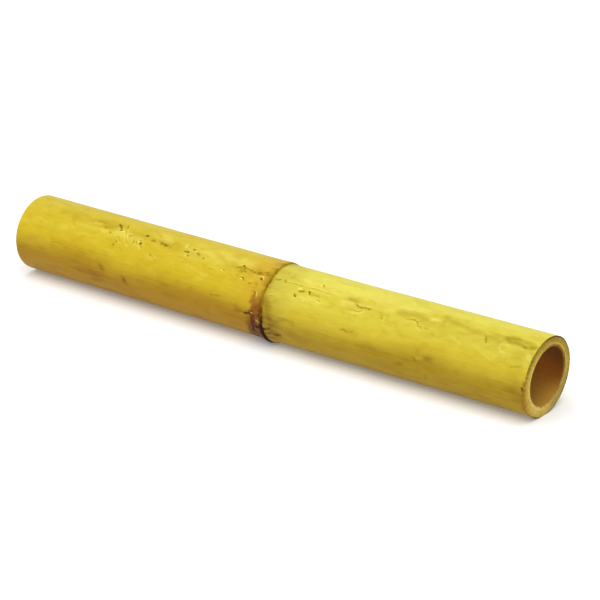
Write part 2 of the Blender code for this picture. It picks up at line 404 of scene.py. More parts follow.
# %% Soft stains on the skin
# Places, then the width in mm and the strength
OLIVE_SMUDGES = (
    (((17, 114), (12, 113), (7, 116), (3, 120)), 3.6, 0.9),
    (((18, 116), (6, 120)), 4.4, 0.8),
    (((26, 120), (22, 121), (19, 123)), 5, 0.7),
    (((48, 112), (44, 114), (36, 118), (28, 119)), 3, 0.5),
    (((55, 121), (42, 117)), 6, 0.2),
    (((56, 128), (18, 128)), 12, 0.2),
    (((10, 134), (3, 136)), 9, 0.3),
    (((75, 121), (64, 118), (60, 121)), 4, 0.45),
    (((98, 128), (80, 131)), 3, 0.25),
    (((104, 121), (99, 123)), 3.6, 0.55),
    (((149, 125), (148, 148)), 3, 0.4),
    (((147, 160), (142, 170)), 7, 0.35),
    (((144, 158), (143.5, 168)), 2.6, 0.3),
    (((186, 112), (183, 115), (180, 119), (177.5, 125)), 2.6, 0.4),
    (((178, 102), (175, 104)), 3, 0.4),
    (((228, 117), (215, 119)), 3.2, 0.4),
    (((222, 116), (213, 108)), 3, 0.2),
    (((245, 113), (228, 117), (210, 119), (195, 121)), 4, 0.3),
    (((266, 110), (258, 110), (252, 108)), 5, 0.5),
    (((292, 109), (276, 112), (266, 110)), 5, 0.25),
    (((10, 152), (4, 150)), 4, 0.2),
    (((99, 167), (94, 168)), 2.6, 0.3),
    (((149, 180), (141, 184)), 7, 0.5),
    (((149, 212), (143, 213)), 8, 0.5),
    (((30, 35), (8, 38)), 5, 0.35),
    (((80, 20), (58, 16)), 6, 0.25),
    (((150, 345), (132, 340)), 5, 0.4),
    (((176, 25), (154, 30)), 5, 0.35),
    (((240, 20), (205, 30)), 6, 0.25),
    (((306, 350), (284, 345)), 6, 0.3),
    (((176, 122), (163, 124)), 5, 0.3),
    (((160, 120), (153, 120)), 3.5, 0.35),
)
BROWN_SMUDGES = (
    (((0.4, 170), (0.2, 225)), 1.6, 0.75),
    (((1.0, 192), (0.6, 220)), 4, 0.6),
    (((52, 104), (51, 112), (51, 120)), 3, 0.25),
    (((54, 173), (52, 173)), 3.4, 0.55),
    (((70, 194), (68, 192)), 2.4, 0.4),
    (((6, 182), (0, 200)), 7, 0.3),
    (((10, 183), (8, 182)), 3, 0.3),
    (((146.5, 176), (144, 184), (142, 187)), 3, 0.5),
    (((143, 185), (140, 181), (136, 177), (131, 178)), 2.4, 0.4),
    (((149, 180), (148, 197)), 3.2, 0.6),
    (((144, 190), (142, 202)), 3.4, 0.4),
    (((148, 206), (142, 207)), 3, 0.3),
    (((149, 210), (146, 222)), 4, 0.4),
    (((153, 92), (152, 135)), 3, 0.3),
    (((148, 158), (146, 180), (145, 200)), 6, 0.65),
    (((166, 182), (159, 186)), 3, 0.5),
    (((172, 195), (160, 192)), 7, 0.2),
    (((262, 195), (256, 199)), 5, 0.3),
    (((270, 196), (264, 198), (258, 196)), 3, 0.25),
    (((263, 208), (258, 204), (254, 200)), 3, 0.45),
    (((255, 184), (254.5, 195)), 1.8, 0.3),
    (((255, 177), (253, 183)), 2.6, 0.4),
    (((240, 186), (238, 196)), 2.4, 0.4),
    (((155.4, 178), (154.8, 190), (155.2, 200), (157, 209), (158, 216)), 1.5, 0.85),
    (((159, 184), (159.5, 198), (160, 210)), 3, 0.45),
    (((149.4, 148), (149, 178)), 1.6, 0.4),
    (((150.4, 165), (150.2, 202)), 2.2, 0.55),
)
PALE_SMUDGES = (
    (((34, 128), (14, 131)), 8, 0.06),
    (((58, 117), (54, 117)), 3, 0.4),
    (((80, 110), (62, 108)), 6, 0.25),
    (((252, 118), (244, 120), (234, 128)), 5, 0.25),
    (((4, 128), (2, 146)), 2.4, 0.15),
    (((224, 104), (219, 110)), 5, 0.35),
    (((204, 118), (180, 116)), 8, 0.3),
    (((134, 142), (120, 140)), 7, 0.15),
    (((185, 104), (178, 108), (166, 112)), 6, 0.3),
    (((130, 108), (80, 112)), 8, 0.3),
    (((106, 128), (92, 126)), 3, 0.3),
)
print(len(OLIVE_SMUDGES) + len(BROWN_SMUDGES) + len(PALE_SMUDGES), "soft stains")

# %% [markdown]
# A face is near a stroke if its middle is within half the stroke's width and a small margin.
# The ring and the rim are left as they are, because their mesh is fine enough already.

# %% Finer mesh around each stroke
STROKE_MARGIN = 0.6  # mm of finer mesh on each side of a stroke
FINE_ENOUGH_AT_RING = 2.5  # mm beside the ring where the mesh stays as it is
FINE_ENOUGH_AT_RIM = 0.8  # and mm from the rim
FINER_CUTS = 2


def mm_from_chain(places, along_mm, around, shift=0.0):
    """How far points on the skin are from a chain of places. shift moves it down the front."""
    nearest = np.full(len(along_mm), np.inf)
    for (start, start_angle), (end, end_angle) in zip(places, places[1:]):
        turn_from_start = (around - math.radians(start_angle) + math.pi) % (2 * math.pi) - math.pi
        a = along_mm - start
        b = turn_from_start * NEAR_RADIUS * 1000 - shift
        run = end - start
        rise = math.radians(end_angle - start_angle) * NEAR_RADIUS * 1000
        share = np.clip((a * run + b * rise) / (run * run + rise * rise), 0.0, 1.0)
        nearest = np.minimum(nearest, np.hypot(a - share * run, b - share * rise))
    return nearest


mesh = bmesh.from_edit_mesh(culm.data)
middles = np.array([face.calc_center_median() for face in mesh.faces])
middle_mm = (x_at(0.0) - middles[:, 0]) * 1000
middle_angle = np.arctan2(middles[:, 2], middles[:, 1])
is_side = np.hypot(middles[:, 1], middles[:, 2]) > NEAR_RADIUS / 2
ring_mm = NODE_STATION * 1000
is_wide = (np.abs(middle_mm - ring_mm) > FINE_ENOUGH_AT_RING) & (middle_mm > FINE_ENOUGH_AT_RIM)
near_a_stroke = np.zeros(len(middles), dtype=bool)
for places, width, _, _ in STROKES:
    near_a_stroke |= mm_from_chain(places, middle_mm, middle_angle) < width / 2 + STROKE_MARGIN
bpy.ops.mesh.select_mode(type="FACE")
bpy.ops.mesh.select_all(action="DESELECT")
mesh.faces.ensure_lookup_table()
for index in np.flatnonzero(near_a_stroke & is_side & is_wide):
    mesh.faces[index].select_set(True)
bmesh.update_edit_mesh(culm.data)
bpy.ops.mesh.subdivide(number_cuts=FINER_CUTS)
print(len(STROKES), "strokes,", len(bmesh.from_edit_mesh(culm.data).verts), "vertices")

# %% [markdown]
# ## Sawn faces and hollows
#
# Both ends are made alike, from the cylinder's cap. The first inset is also raised, which
# makes the tiny chamfer that a saw leaves on the skin. More insets lay rings over the sawn
# face, one sunk inset breaks its inner edge, and extrusions go down the hollow. Sunk insets
# then round the foot of the diaphragm, which is closed by a fan of triangles.

# %% Sink both ends
FACE_RINGS = 9
BORE_RINGS_NEAR_MOUTH = 14
MOUTH_DEPTH = 0.024
BORE_RINGS_DEEPER = 8
FILLET_STEPS = 8
DIAPHRAGM_RINGS = 4

diaphragm = NODE_STATION + DIAPHRAGM_OFFSET


def extrude_inward(outward, distance, steps):
    for _ in range(steps):
        move = {"value": (-outward * distance / steps, 0.0, 0.0)}
        bpy.ops.mesh.extrude_region_move(TRANSFORM_OT_translate=move)


def sink_end(mouth, outward):
    """Makes one end's sawn face and its hollow, down to the diaphragm. outward is 1 at +X."""
    selected_faces(culm, lambda centre, normal: normal.x * outward > 0.99)
    bpy.ops.mesh.inset(thickness=RIM_CHAMFER, depth=RIM_CHAMFER)
    wall = WALL - 2 * RIM_CHAMFER
    for _ in range(FACE_RINGS):
        bpy.ops.mesh.inset(thickness=wall / FACE_RINGS)
    bpy.ops.mesh.inset(thickness=RIM_CHAMFER, depth=-RIM_CHAMFER)
    bore_depth = abs(mouth - diaphragm) - DIAPHRAGM_THICKNESS / 2
    straight = bore_depth - RIM_CHAMFER - DIAPHRAGM_FILLET
    extrude_inward(outward, MOUTH_DEPTH, BORE_RINGS_NEAR_MOUTH)
    extrude_inward(outward, straight - MOUTH_DEPTH, BORE_RINGS_DEEPER)
    for i in range(FILLET_STEPS):
        start, end = (math.pi / 2 * turn / FILLET_STEPS for turn in (i, i + 1))
        bpy.ops.mesh.inset(
            thickness=DIAPHRAGM_FILLET * (math.cos(start) - math.cos(end)),
            depth=-DIAPHRAGM_FILLET * (math.sin(end) - math.sin(start)),
        )
    for _ in range(DIAPHRAGM_RINGS):
        bpy.ops.mesh.inset(thickness=(BORE_RADIUS - DIAPHRAGM_FILLET) / (DIAPHRAGM_RINGS + 1))
    bpy.ops.mesh.poke()


sink_end(0.0, 1)
sink_end(LENGTH, -1)
bpy.ops.object.mode_set(mode="OBJECT")
print("sunk:", len(culm.data.vertices), "vertices")

# %% [markdown]
# ## Where each vertex is on the cane
#
# Growth is easier to describe in the cane's own terms than in X, Y and Z. So each vertex gets
# its station, its angle round the cane, its radius, and how far through the wall it stands,
# from 0 at the hollow to 1 at the skin. NumPy reads all the vertices at once.

# %% Station, angle and share of the wall
count = len(culm.data.vertices)
flat = np.empty(count * 3)
culm.data.vertices.foreach_get("co", flat)
turned = flat.reshape(-1, 3)
station = x_at(0.0) - turned[:, 0]
radius = np.hypot(turned[:, 1], turned[:, 2])
angle = np.arctan2(turned[:, 2], turned[:, 1])
wall_share = np.clip((radius - BORE_RADIUS) / WALL, 0.0, 1.0)
past_ring = station - NODE_STATION
print("stations from", station.min().round(5), "to", station.max().round(5))

# %% [markdown]
# ## The large forms
#
# These follow the solid: the far internode is a little thicker, the node swells where a bud
# once grew, the saw pressed a lip out of the near end, and the whole cane is slightly bowed.
# Each form is a smooth hill with a centre and a reach, and the hills are added up.

# %% Hills on the skin
WAIST = 0.00004
OVALITY = 0.0001
BAND_NEAR_REACH = 0.0045
BAND_FAR_REACH = 0.0068
BAND_HEIGHT = 0.00008
BUD_HEIGHT = 0.001
BUD_ANGLE = math.radians(240)
BUD_SHARPNESS = 8
LIP_HEIGHT = 0.00045
LIP_REACH = 0.003
LIP_ANGLE = math.radians(245)
LIP_SHARPNESS = 4
STEP_HALF_WIDTH = 0.0009


def hill(distance, reach):
    """1 at no distance, falling smoothly to 0 at the reach."""
    share = np.clip(np.abs(distance) / reach, 0.0, 1.0)
    return (1 + np.cos(np.pi * share)) / 2


def facing(around, centre, sharpness):
    """1 at the centre angle round the cane, falling smoothly to 0 on the other side."""
    return ((1 + np.cos(around - centre)) / 2) ** sharpness


def smooth_step(value, start, end):
    share = np.clip((value - start) / (end - start), 0.0, 1.0)
    return share * share * (3 - 2 * share)


def bowed_axis(at_station):
    """How far the cane's axis stands from a straight line, towards +Y."""
    is_far = at_station > NODE_STATION
    end = np.where(is_far, LENGTH, 0.0)
    end_bow = np.where(is_far, FAR_BOW, 0.0)
    share = (at_station - NODE_STATION) / (end - NODE_STATION)
    return -NODE_BOW + (NODE_BOW - end_bow) * share * share * (2 - share)


thicker = (FAR_RADIUS - NEAR_RADIUS) * smooth_step(past_ring, -STEP_HALF_WIDTH, STEP_HALF_WIDTH)
to_end = np.where(past_ring < 0, NODE_STATION, LENGTH - NODE_STATION)
waist = -WAIST * np.sin(np.pi * np.clip(np.abs(past_ring) / to_end, 0, 1)) ** 2
oval = OVALITY * np.cos(2 * angle)
band_reach = np.where(past_ring < 0, BAND_NEAR_REACH, BAND_FAR_REACH)
swelling = BAND_HEIGHT + BUD_HEIGHT * facing(angle, BUD_ANGLE, BUD_SHARPNESS)
band = swelling * hill(past_ring, band_reach)
lip = LIP_HEIGHT * hill(station, LIP_REACH) * facing(angle, LIP_ANGLE, LIP_SHARPNESS)
relief = thicker + waist + oval + band + lip
print("the large forms reach", round(relief.max() * 1000, 2), "mm beyond the near radius")

# %% [markdown]
# ## The sheath scar
#
# A leaf sheath once wrapped the cane, and tore away along the node. What it left is a thin
# crack that wanders a little, deepest below the bud, with a torn edge standing up beside it,
# and past that a fainter line where the growing zone ended. Noise read round the cane makes
# the wander, so that it joins up after a full turn.

# %% Crack, torn edge and fainter line
CRACK_DEPTH = 0.00035
CRACK_HALF_WIDTH = (0.0008, 0.0018)  # on the upper side, and below the bud
CRACK_SHARPNESS = 5
CRACK_HALO_REACH = 0.0024  # dirt has darkened the skin this far from it
CRACK_SHIFT = -0.0005  # the sheath tore off a little on the near side
CRACK_WANDER = 0.00035
SLOW_BENDS, QUICK_BENDS = 2.5, 9.0  # how quickly the wander turns round the cane
FRAYED = 7.0  # and how quickly the crack's width and its torn edge change
TORN_EDGE_HEIGHT = 0.00014
TORN_EDGE_REACH = 0.0009
SCAR_STATION = 0.0062
SCAR_DEPTH = 0.00016
SCAR_HALF_WIDTH = 0.0006
SCAR_BULGE = 0.0045  # how far the fainter line runs on round the bud
BULGE_SHARPNESS = 10
COLLAR_HEIGHT = 0.00007


def noise_round(around, roughness, seed):
    """Smooth noise, from about -1 to 1, that closes on itself after a turn."""
    places = zip(np.cos(around) * roughness, np.sin(around) * roughness)
    return np.array([noise.noise((y, z, seed)) for y, z in places])


bends = noise_round(angle, SLOW_BENDS, 3.0) + 0.6 * noise_round(angle, QUICK_BENDS, 5.0)
ring_wander = CRACK_WANDER * bends
from_crack = past_ring - ring_wander - CRACK_SHIFT
below_bud = facing(angle, BUD_ANGLE, CRACK_SHARPNESS)
above, below = CRACK_HALF_WIDTH
crack_width = (above + (below - above) * below_bud) * (1 + 0.35 * noise_round(angle, FRAYED, 12.0))
crack = hill(from_crack, crack_width) * (0.6 + 0.4 * below_bud)
torn_edge = hill(from_crack - TORN_EDGE_REACH, TORN_EDGE_REACH)
torn_edge *= 0.6 + 0.8 * noise_round(angle, FRAYED, 8.0)
scar_line = SCAR_STATION + SCAR_BULGE * facing(angle, BUD_ANGLE, BULGE_SHARPNESS) + 2 * ring_wander
from_scar = past_ring - scar_line
scar = hill(from_scar, SCAR_HALF_WIDTH)
collar = smooth_step(from_crack, 0.0, 0.0008) * smooth_step(-from_scar, -0.0006, 0.0022)
relief += -CRACK_DEPTH * crack + TORN_EDGE_HEIGHT * torn_edge
relief += -SCAR_DEPTH * scar * (0.2 + 0.8 * below_bud) + COLLAR_HEIGHT * collar
print("the crack wanders by", round(np.ptp(ring_wander) * 1000, 2), "mm")

# %% [markdown]
# ## The skin's unevenness
#
# A cane's skin is never quite true. It has long shallow waves, faint ribs that follow the
# fibres, and small chips along a sawn edge. Each is noise, stretched along the cane where it
# follows the fibres.

# %% Waves, ribs and chips
WAVE_HEIGHT = 0.00007
WAVE_LENGTH = 0.03
WAVE_WIDTH = 0.009
RIB_HEIGHT = 0.00002
RIB_LENGTH = 0.02
RIB_WIDTH = 0.0024
CHIP_DEPTH = 0.00022
CHIP_REACH = 0.0009
CHIP_LENGTH = 0.004
CHIP_WIDTH = 0.0011


def noise_on_skin(length, width, seed):
    """Smooth noise over the cane, stretched to a length along it and a width round it."""
    across = NEAR_RADIUS / width
    places = zip(station / length, np.cos(angle) * across, np.sin(angle) * across)
    return np.array([noise.noise((x + seed, y, z)) for x, y, z in places])


waves = WAVE_HEIGHT * noise_on_skin(WAVE_LENGTH, WAVE_WIDTH, 0.0)
ribs = RIB_HEIGHT * noise_on_skin(RIB_LENGTH, RIB_WIDTH, 40.0)
to_rim = np.minimum(station, LENGTH - station)
chipped = np.clip(noise_on_skin(CHIP_LENGTH, CHIP_WIDTH, 80.0), 0.0, 1.0)
chips = -CHIP_DEPTH * chipped * hill(to_rim, CHIP_REACH)
relief += waves + ribs + chips
print("waves and ribs stand out", round((waves + ribs).max() * 1000, 3), "mm at most")

# %% [markdown]
# Each stroke sinks the skin along its line, and its lip raises the skin beside it. Noise
# frays both, because a scrape never has a smooth outline.

# %% Pits, scrapes and their lips
PIT_DEPTH = 0.00024
LIP_RISE = 0.00008
FRAYING = 0.45  # as a share of a stroke's width

station_mm = station * 1000
fray = FRAYING * noise_on_skin(0.0012, 0.0006, 200.0)
depth_patches = 0.95 + 0.6 * noise_on_skin(0.0025, 0.001, 240.0)
pit = np.zeros(count)
lip_and_highlight = np.zeros(count)
for places, width, darkness, lip_height in STROKES:
    distance = mm_from_chain(places, station_mm, angle) / width + fray
    pit = np.maximum(pit, darkness * smooth_step(-distance, -0.7, -0.2))
    if lip_height:
        shift = math.copysign(0.85 if darkness else 0.0, lip_height) * width
        distance = mm_from_chain(places, station_mm, angle, shift) / width + fray
        lip_and_highlight = np.maximum(lip_and_highlight, abs(lip_height) * smooth_step(-distance, -0.7, -0.2))
pit = np.clip(pit * depth_patches, 0.0, 1.0)


def smudged(rows):
    """The strongest of some soft stains at each vertex."""
    soft = np.zeros(count)
    wobble = 0.5 * noise_on_skin(0.006, 0.002, 280.0)
    for places, width, strength in rows:
        distance = mm_from_chain(places, station_mm, angle) / width + wobble
        soft = np.maximum(soft, strength * smooth_step(-distance, -0.9, 0.1))
    return soft


relief += LIP_RISE * lip_and_highlight - PIT_DEPTH * pit ** 1.5
print("marked vertices:", int((pit > 0.2).sum()), "and on lips:", int((lip_and_highlight > 0.2).sum()))

# %% [markdown]
# ## Grow the mesh
#
# The relief belongs to the skin, so it fades to nothing through the wall, and the hollow
# stays true. The near end's cut leans, the axis bows, and what would reach below the floor is
# pressed flat on it, as on the solid. The sawn faces get the low ridges of the saw's strokes,
# and the diaphragm is a little domed.

# %% Move the vertices
SAW_RIDGE_HEIGHT = 0.00003
SAW_RIDGE_SPACING = 0.0009
SAW_ANGLE = math.radians(58)
BORE_UNEVENNESS = 0.00012
DOME_HEIGHT = 0.0012

grown = radius + wall_share * relief
in_hollow = (wall_share == 0.0) & (radius > BORE_RADIUS - HAIR)
grown += np.where(in_hollow, BORE_UNEVENNESS * noise_on_skin(0.03, 0.006, 120.0), 0.0)
y = grown * np.cos(angle)
z = grown * np.sin(angle)
near_end_share = np.clip(1 - station / NODE_STATION, 0.0, 1.0)
x = turned[:, 0] + near_end_share * (SAW_SLANT[0] * y + SAW_SLANT[1] * z)
across_strokes = y * math.cos(SAW_ANGLE) + z * math.sin(SAW_ANGLE)
drift = 2 * noise_on_skin(0.01, 0.01, 160.0)  # no saw stroke is quite straight
saw_waves = np.sin(across_strokes / SAW_RIDGE_SPACING * 2 * np.pi + drift)
on_near_face = (station < HAIR) & (wall_share > 0)
on_far_face = (station > LENGTH - HAIR) & (wall_share > 0)
x += SAW_RIDGE_HEIGHT * saw_waves * (on_near_face.astype(float) - on_far_face)
on_diaphragm = (radius < BORE_RADIUS - DIAPHRAGM_FILLET + HAIR) & (to_rim > MOUTH_DEPTH)
dome = DOME_HEIGHT * hill(radius, BORE_RADIUS - DIAPHRAGM_FILLET)
x += np.where(on_diaphragm, dome, 0.0)
own_radius = NEAR_RADIUS + thicker
lifted = np.maximum(0.0, z + own_radius - REST_FLAT)
laid = np.stack([x, y + bowed_axis(station), lifted], axis=1)
laid[:, 1] -= (laid[:, 1].min() + laid[:, 1].max()) / 2
culm.data.vertices.foreach_set("co", laid.ravel())
culm.data.update()
print("grown from", laid.min(axis=0).round(5), "to", laid.max(axis=0).round(5))

# %% [markdown]
# ## Three surfaces on one piece
#
# Skin, sawn wood and hollow are one piece of bamboo with three finishes, so the mesh has
# three material slots. A face is told apart by its middle, in the cane's own terms: it is
# skin where it is at the full radius, sawn wood at either end, and hollow elsewhere.

# %% Sort the faces and lay the grain map
SKIN, SAWN, HOLLOW = 0, 1, 2

faces = culm.data.polygons
loop_start = np.empty(len(faces), dtype=int)
loop_total = np.empty(len(faces), dtype=int)
faces.foreach_get("loop_start", loop_start)
faces.foreach_get("loop_total", loop_total)
corner = np.empty(len(culm.data.loops), dtype=int)
culm.data.loops.foreach_get("vertex_index", corner)
face_share = np.add.reduceat(wall_share[corner], loop_start) / loop_total
face_rim = np.add.reduceat(to_rim[corner], loop_start) / loop_total
surface = np.full(len(faces), HOLLOW)
surface[face_share > 0] = SAWN
surface[(face_share > 0.9) & (face_rim > RIM_CHAMFER)] = SKIN
faces.foreach_set("material_index", surface)
print("faces of skin, sawn wood and hollow:", np.bincount(surface))

# %% [markdown]
# Patterns that follow the fibres need a map of the cane: how far along, and how far round.
# On a sawn face it says how deep below the skin instead of how far along. The map's seam is
# under the cane, and the corners of a face that spans it are kept together.

# %% The grain map
round_share = ((angle + math.pi / 2) / (2 * math.pi)) % 1.0  # 0 at the bottom, 0.5 at the top
corner_turn = round_share[corner]
first = np.repeat(corner_turn[loop_start], loop_total)
corner_turn = corner_turn - np.round(corner_turn - first)
corner_surface = np.repeat(surface, loop_total)
below_skin = NEAR_RADIUS - radius
corner_along = np.where(corner_surface == SAWN, below_skin[corner], station[corner])
grain_map = culm.data.uv_layers.new(name="grain")
grain_map.data.foreach_set("uv", np.stack([corner_along, corner_turn], axis=1).ravel())
print("the grain map has", len(corner), "corners")

# %% [markdown]
# Some looks depend on where the skin is: beside the ring, below the bud, on the lower side, which is
# weathered and also painted darker as shade, or on a mark. NumPy knows that already, so each such
# number is kept with the vertices, and a material reads it by its name.

# %% Numbers kept for the materials


def keep(name, values):
    """Keeps one number for each vertex, for a material to read by name."""
    made = culm.data.attributes.new(name, "FLOAT", "POINT")
    made.data.foreach_set("value", values)


# The lower, weathered side is also painted darker, as painted shade; these numbers place that side.
STAIN_FROM, STAIN_TO = math.radians(135), math.radians(176)
STAIN_RAGGEDNESS = 0.0022
STAIN_FADES_FROM, STAIN_FADES_TO = math.radians(262), math.radians(300)
WEATHERED_AND_SHADED_ANGLE = math.radians(247)
EDGE_ANGLE = 168  # where the weathered side begins at the front, in degrees
# Station in mm, and where the weathered and shaded side begins there
WEATHERED_AND_SHADED_EDGE = (
    (0, 165), (30, 164), (50, 161), (60, 164), (75, 170), (90, 172), (105, 174), (120, 172),
    (135, 171), (150, 167), (160, 169), (176, 166), (205, 164), (230, 167), (245, 168),
    (255, 165), (270, 160), (290, 164), (315, 165),
)
HANDLED_ANGLE = math.radians(122)
HANDLED_SHARPNESS = 14
SMOOTH_BELOW = math.radians(32)  # a wider angle between two faces stays an edge

front_angle = angle % (2 * math.pi)
lower_front = smooth_step(front_angle, STAIN_FROM, STAIN_TO)
lower_front *= 1 - smooth_step(front_angle, STAIN_FADES_FROM, STAIN_FADES_TO)
ragged = from_scar + STAIN_RAGGEDNESS * noise_on_skin(0.003, 0.0014, 320.0)
stain = smooth_step(from_crack, -0.0002, 0.0004) * smooth_step(-ragged, -0.0016, 0.001)
edge_shift = np.radians(np.interp(station_mm, *zip(*WEATHERED_AND_SHADED_EDGE)) - EDGE_ANGLE)
keep("weathered_and_shaded", np.cos(angle - WEATHERED_AND_SHADED_ANGLE - edge_shift))
keep("handled", facing(angle, HANDLED_ANGLE, HANDLED_SHARPNESS))
keep("crack", np.clip(crack, 0.0, 1.0))
keep("halo", hill(from_crack, CRACK_HALO_REACH))
keep("scar", scar * below_bud)
keep("stain", stain * lower_front)
keep("pit", pit)
keep("olive", smudged(OLIVE_SMUDGES))
keep("brown", smudged(BROWN_SMUDGES))
keep("pale", smudged(PALE_SMUDGES))
keep("lip_and_highlight", lip_and_highlight)

bpy.ops.object.select_all(action="DESELECT")
culm.select_set(True)
bpy.context.view_layer.objects.active = culm
bpy.ops.object.shade_smooth_by_angle(angle=SMOOTH_BELOW)
print("the piece has", int((loop_total - 2).sum()), "triangles")

# %% [markdown]
# ## Mixing finishes
#
# Every finish below is a graph of nodes. A few small helpers keep the graphs readable: one
# adds a node and fills or links its inputs, one does sums, one lays a colour over another,
# and one turns a value into a share. Colours are written as the eye sees them, from 0 to 255,
# and turned into the linear light that a shader works in.

# %% Helpers for node graphs


def linear(part):
    part /= 255
    return part / 12.92 if part <= 0.04045 else ((part + 0.055) / 1.055) ** 2.4


def paint(red, green, blue):
    return (linear(red), linear(green), linear(blue), 1.0)


def add_node(tree, kind, inputs=None, **settings):
    """Adds a node. settings are its own, and inputs are numbers to set or sockets to link."""
    node = tree.nodes.new(kind)
    for name, value in settings.items():
        setattr(node, name, value)
    for name, value in (inputs or {}).items():
        if isinstance(value, bpy.types.NodeSocket):
            tree.links.new(value, node.inputs[name])
        else:
            node.inputs[name].default_value = value
    return node


def sums(tree, operation, *values):
    node = add_node(tree, "ShaderNodeMath", dict(enumerate(values)), operation=operation)
    return node.outputs[0]


def lay_over(tree, share, under, over, how="MIX"):
    """Lays one colour over another by a share from 0 to 1."""
    inputs = {0: share, 6: under, 7: over}
    return add_node(tree, "ShaderNodeMix", inputs, data_type="RGBA", blend_type=how).outputs[2]


def ramp(tree, value, start, end, low=0.0, high=1.0):
    """Goes smoothly from low to high as the value goes from start to end."""
    inputs = {"Value": value, "From Min": start, "From Max": end, "To Min": low, "To Max": high}
    node = add_node(tree, "ShaderNodeMapRange", inputs, interpolation_type="SMOOTHSTEP")
    return node.outputs["Result"]


def new_group(name, inputs, outputs):
    """Starts a node group with named number inputs, which may have a first value, and outputs."""
    group = bpy.data.node_groups.new(name, "ShaderNodeTree")
    for label, first_value in inputs.items():
        kind = "NodeSocketVector" if first_value is None else "NodeSocketFloat"
        socket = group.interface.new_socket(name=label, in_out="INPUT", socket_type=kind)
        if first_value is not None:
            socket.default_value = first_value
    for label in outputs:
        group.interface.new_socket(name=label, in_out="OUTPUT", socket_type="NodeSocketFloat")
    given = group.nodes.new("NodeGroupInput").outputs
    result = group.nodes.new("NodeGroupOutput").inputs
    return group, given, result


def use_group(tree, group, inputs):
    return add_node(tree, "ShaderNodeGroup", inputs, node_tree=group).outputs


print("as the shader sees it, a mid grey is", round(linear(128), 3))

# %% [markdown]
# ## Fibres and blotches
#
# Two effects turn up in every finish of this cane. Fibres are fine noise, drawn out along the
# cane. Blotches are soft patches, a few times longer than they are wide. Each is a group
# that puts out one mask, so that the skin, the sawn wood and the hollow can use it with their
# own sizes.

# %% The fibre group
fibres_group, given, result = new_group(
    "bamboo_fibres", {"Place": None, "Width": 0.0008, "Length": 0.03}, ["Fibres"])
parts = add_node(fibres_group, "ShaderNodeSeparateXYZ", {0: given["Place"]}).outputs
drawn_out = add_node(fibres_group, "ShaderNodeCombineXYZ", {
    "X": sums(fibres_group, "DIVIDE", parts["X"], given["Length"]),
    "Y": sums(fibres_group, "DIVIDE", parts["Y"], given["Width"]),
    "Z": sums(fibres_group, "DIVIDE", parts["Z"], given["Width"]),
}).outputs[0]
noise_inputs = {"Vector": drawn_out, "Scale": 1.0, "Detail": 3.0, "Roughness": 0.6}
fibre_noise = add_node(fibres_group, "ShaderNodeTexNoise", noise_inputs)
fibres_group.links.new(fibre_noise.outputs["Fac"], result["Fibres"])
print(fibres_group.name, "has", len(fibres_group.nodes), "nodes")

# %% The blotch group
blotch_group, given, result = new_group(
    "bamboo_blotches", {"Place": None, "Size": 0.01, "Stretch": 3.0, "Seed": 0.0}, ["Blotches"])
parts = add_node(blotch_group, "ShaderNodeSeparateXYZ", {0: given["Place"]}).outputs
blotch_length = sums(blotch_group, "MULTIPLY", given["Size"], given["Stretch"])
along_cane = sums(blotch_group, "DIVIDE", parts["X"], blotch_length)
stretched = add_node(blotch_group, "ShaderNodeCombineXYZ", {
    "X": sums(blotch_group, "ADD", along_cane, given["Seed"]),
    "Y": sums(blotch_group, "DIVIDE", parts["Y"], given["Size"]),
    "Z": sums(blotch_group, "DIVIDE", parts["Z"], given["Size"]),
}).outputs[0]
noise_inputs = {"Vector": stretched, "Scale": 1.0, "Detail": 3.0, "Roughness": 0.5, "Distortion": 0.4}
blotch_noise = add_node(blotch_group, "ShaderNodeTexNoise", noise_inputs)
blotch_group.links.new(blotch_noise.outputs["Fac"], result["Blotches"])
print(blotch_group.name, "has", len(blotch_group.nodes), "nodes")

# %% [markdown]
# ## The skin
#
# The upper side is a clear yellow, greener on the near internode and more golden on the far one, and
# palest along the top of both, which is a painted highlight. The lower side turns to ochre with a soft,
# wavy edge, partly weathering and partly painted shade. The bud's place is stained red-brown, and wax
# blooms grey-green beside the ring.

# %% The skin's colours
YELLOW_NEAR = paint(202, 187, 58)
# The paler yellows along the top are a painted highlight
YELLOW_TOP_HIGHLIGHT = paint(216, 206, 80)
YELLOW_FAR = paint(200, 176, 38)
YELLOW_FAR_TOP_HIGHLIGHT = paint(206, 184, 54)
# The gold and the two ochres darken the lower side: partly weathering, partly painted shade
GOLD = paint(192, 160, 22)
OCHRE_NEAR = paint(158, 128, 18)
OCHRE_FAR = paint(158, 118, 16)
TAN = paint(196, 152, 42)
STAIN_RED = paint(126, 66, 18)
STAIN_DARK = paint(86, 36, 2)
BLOOM = paint(182, 168, 68)
CRACK_BROWN = paint(146, 112, 0)
# The crack's darkest colour is dirt with painted shade
CRACK_DIRT_AND_SHADE = paint(40, 6, 2)
# A pale colour for pale patches, and the painted highlight on the lips of marks
PALE_AND_HIGHLIGHT = paint(236, 224, 112)
FIBRE_PALE = paint(226, 212, 90)
# A mark lets the skin's own colour through, so these multiply what is below them
GOLDEN_SHADE = paint(240, 228, 200)
MARK_SHADE = paint(220, 208, 120)
PIT_SHADE = paint(142, 134, 50)
OLIVE_SHADE = paint(198, 188, 104)
BROWN_SHADE = paint(206, 184, 146)


def fibres(tree, place, width, length):
    return use_group(tree, fibres_group, {"Place": place, "Width": width, "Length": length})["Fibres"]


def blotches(tree, place, size, stretch, seed):
    inputs = {"Place": place, "Size": size, "Stretch": stretch, "Seed": seed}
    return use_group(tree, blotch_group, inputs)["Blotches"]


def kept(tree, name):
    return add_node(tree, "ShaderNodeAttribute", attribute_name=name).outputs["Fac"]


def times(tree, *values):
    product = values[0]
    for value in values[1:]:
        product = sums(tree, "MULTIPLY", product, value)
    return product


print("the skin's ochre is", [round(part, 3) for part in OCHRE_NEAR[:3]], "in linear light")
